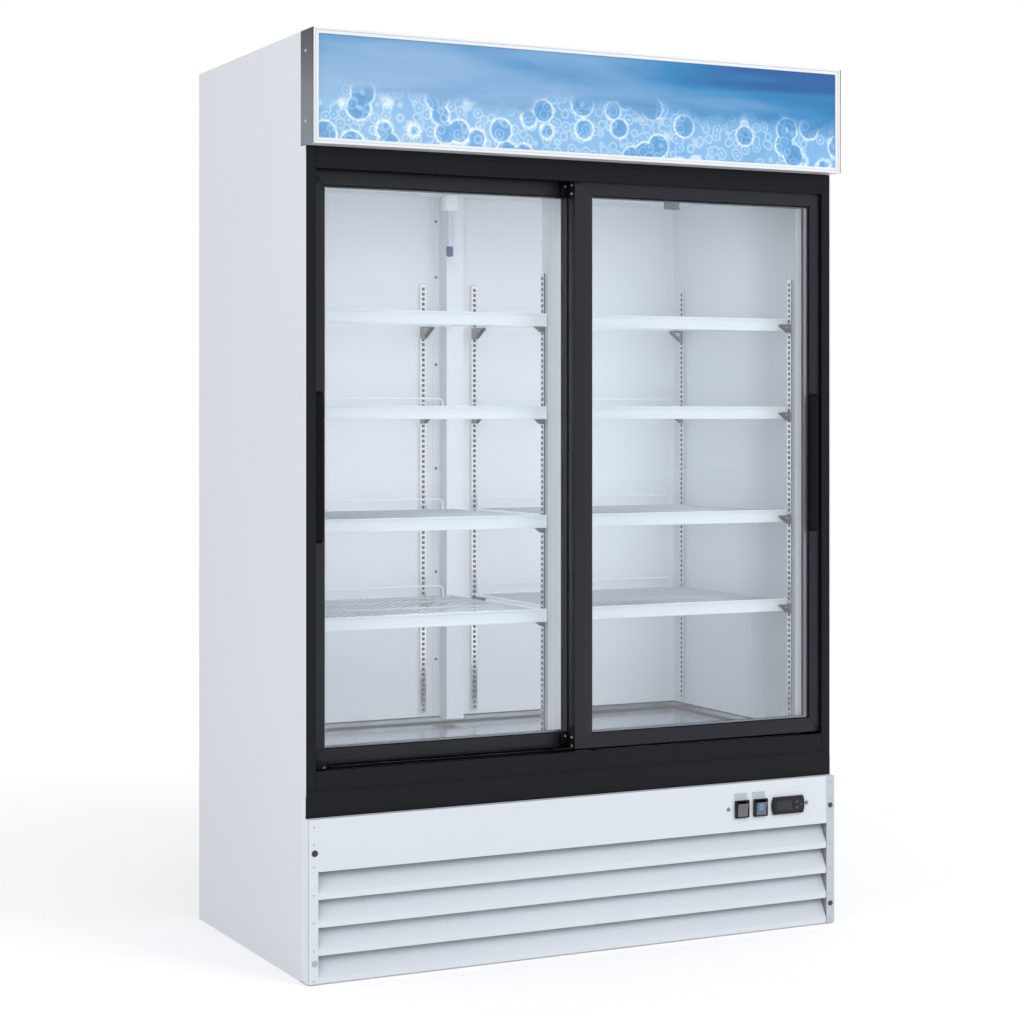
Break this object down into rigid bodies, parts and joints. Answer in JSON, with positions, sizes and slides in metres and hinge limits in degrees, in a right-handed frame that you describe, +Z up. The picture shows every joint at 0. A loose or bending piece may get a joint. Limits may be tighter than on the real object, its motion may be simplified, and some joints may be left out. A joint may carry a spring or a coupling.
{
  "type": "display refrigerator",
  "caption": "Upright merchandiser refrigerator with sliding glass doors on tracks, wire shelves, a lit sign above and a louvred machine grille below.",
  "frame": {"origin": "bottom centre of the bounding box, on the floor", "axes": "+Z up, doors face -Y, +X to the right seen from the front"},
  "size_m": [1.344, 0.746, 2.034],
  "materials": {
    "white_panel": "satin white enamel",
    "grille_white": "satin white enamel",
    "galvanised": "zinc-coated sheet",
    "foam": "rigid foam",
    "liner_white": "white coated sheet",
    "stainless": "brushed",
    "black_frame": "black profile",
    "glass": "clear",
    "spacer": "mill finish",
    "handle_black": "fine grain",
    "roller_nylon": "moulded nylon",
    "standard_grey": "grey enamel",
    "shelf_white": "white plastic-coated wire",
    "strip_clear": "pale translucent strip",
    "lamp": "lit diffuser",
    "probe_white": "moulded",
    "bracket_grey": "grey enamel",
    "sign_aluminium": "anodised",
    "sign_print": "back-lit print",
    "switch_black": "moulded",
    "rocker_grey": "moulded",
    "rocker_blue": "moulded",
    "compressor_black": "black enamel",
    "coil": "mill finish fins",
    "motor_grey": "grey enamel",
    "fan_plastic": "moulded",
    "tray_plastic": "moulded"
  },
  "bodies": {
    "cabinet": {"back_panel": "galvanised", "base_pan": "galvanised", "centre_post": "liner_white", "compressor": "compressor_black", "condensate_tray": "tray_plastic", "condenser": "coil", "controller": "switch_black", "cord_gland": "switch_black", "evaporator_coil": "coil", "evaporator_cover": "liner_white", "fan_motors": "motor_grey", "fan_shroud": "galvanised", "frame_collars": "white_panel", "frame_header": "black_frame", "frame_sill": "black_frame", "front_grille": "grille_white", "insulation": "foam", "lamp_bars": "lamp", "left_side_panel": "white_panel", "liner_floor": "stainless", "liner_walls": "liner_white", "lower_beam": "black_frame", "price_strips": "strip_clear", "rear_air_duct": "liner_white", "rear_machine_cover": "galvanised", "right_side_panel": "white_panel", "shelf_clips": "standard_grey", "shelf_pair_1": "shelf_white", "shelf_pair_2": "shelf_white", "shelf_pair_3": "shelf_white", "shelf_pair_4": "shelf_white", "shelf_standards": "standard_grey", "side_jambs": "black_frame", "sign_brackets": "bracket_grey", "sign_frame": "sign_aluminium", "sign_panel": "sign_print", "sign_tray": "sign_aluminium", "switch_housings": "switch_black", "temperature_probe": "probe_white", "top_panel": "white_panel"},
    "left_door": {"left_door_frame": "black_frame", "left_door_glass": "glass", "left_door_spacer": "spacer", "left_door_handle": "handle_black"},
    "right_door": {"right_door_frame": "black_frame", "right_door_glass": "glass", "right_door_spacer": "spacer", "right_door_handle": "handle_black"},
    "left_door_roller_1_body": {"left_door_roller_1": "roller_nylon"},
    "left_door_roller_2_body": {"left_door_roller_2": "roller_nylon"},
    "right_door_roller_1_body": {"right_door_roller_1": "roller_nylon"},
    "right_door_roller_2_body": {"right_door_roller_2": "roller_nylon"},
    "light_switch_rocker_body": {"light_switch_rocker": "rocker_grey"},
    "cooling_switch_rocker_body": {"cooling_switch_rocker": "rocker_blue"},
    "controller_key_1_body": {"controller_key_1": "switch_black"},
    "controller_key_2_body": {"controller_key_2": "switch_black"},
    "controller_key_3_body": {"controller_key_3": "switch_black"},
    "condenser_fan_body": {"condenser_fan": "fan_plastic"},
    "evaporator_fan_body": {"evaporator_fan": "fan_plastic"}
  },
  "joints": [
    {"name": "left_door_slide", "type": "slide", "parent": "cabinet", "child": "left_door", "axis": [1, 0, 0], "range_m": [0, 0.585]},
    {"name": "right_door_slide", "type": "slide", "parent": "cabinet", "child": "right_door", "axis": [1, 0, 0], "range_m": [-0.585, 0]},
    {"name": "left_door_roller_1_spin", "type": "hinge", "parent": "left_door", "child": "left_door_roller_1_body", "pos_m": [-0.5895, -0.262, 0.46006], "axis": [0, 1, 0], "continuous": true},
    {"name": "left_door_roller_2_spin", "type": "hinge", "parent": "left_door", "child": "left_door_roller_2_body", "pos_m": [-0.044, -0.262, 0.46006], "axis": [0, 1, 0], "continuous": true},
    {"name": "right_door_roller_1_spin", "type": "hinge", "parent": "right_door", "child": "right_door_roller_1_body", "pos_m": [0.044, -0.304, 0.46006], "axis": [0, 1, 0], "continuous": true},
    {"name": "right_door_roller_2_spin", "type": "hinge", "parent": "right_door", "child": "right_door_roller_2_body", "pos_m": [0.5955, -0.304, 0.46006], "axis": [0, 1, 0], "continuous": true},
    {"name": "light_switch_rocker_tilt", "type": "hinge", "parent": "cabinet", "child": "light_switch_rocker_body", "pos_m": [0.41, -0.344, 0.293], "axis": [1, 0, 0], "range_deg": [-16, 0]},
    {"name": "cooling_switch_rocker_tilt", "type": "hinge", "parent": "cabinet", "child": "cooling_switch_rocker_body", "pos_m": [0.461, -0.344, 0.293], "axis": [1, 0, 0], "range_deg": [-16, 0]},
    {"name": "controller_key_1_press", "type": "slide", "parent": "cabinet", "child": "controller_key_1_body", "axis": [0, 1, 0], "range_m": [0, 0.0008], "stiffness_N_per_m": 300},
    {"name": "controller_key_2_press", "type": "slide", "parent": "cabinet", "child": "controller_key_2_body", "axis": [0, 1, 0], "range_m": [0, 0.0008], "stiffness_N_per_m": 300},
    {"name": "controller_key_3_press", "type": "slide", "parent": "cabinet", "child": "controller_key_3_body", "axis": [0, 1, 0], "range_m": [0, 0.0008], "stiffness_N_per_m": 300},
    {"name": "condenser_fan_spin", "type": "hinge", "parent": "cabinet", "child": "condenser_fan_body", "pos_m": [0.33, -0.159, 0.147], "axis": [0, 1, 0], "continuous": true},
    {"name": "evaporator_fan_spin", "type": "hinge", "parent": "cabinet", "child": "evaporator_fan_body", "pos_m": [0, -0.073, 1.7735], "axis": [0, 0, 1], "continuous": true}
  ],
  "couplings": [
    {"joint": "left_door_roller_1_spin", "follows": "left_door_slide", "rad_per_m": 100},
    {"joint": "left_door_roller_2_spin", "follows": "left_door_slide", "rad_per_m": 100},
    {"joint": "right_door_roller_1_spin", "follows": "right_door_slide", "rad_per_m": 100},
    {"joint": "right_door_roller_2_spin", "follows": "right_door_slide", "rad_per_m": 100}
  ]
}
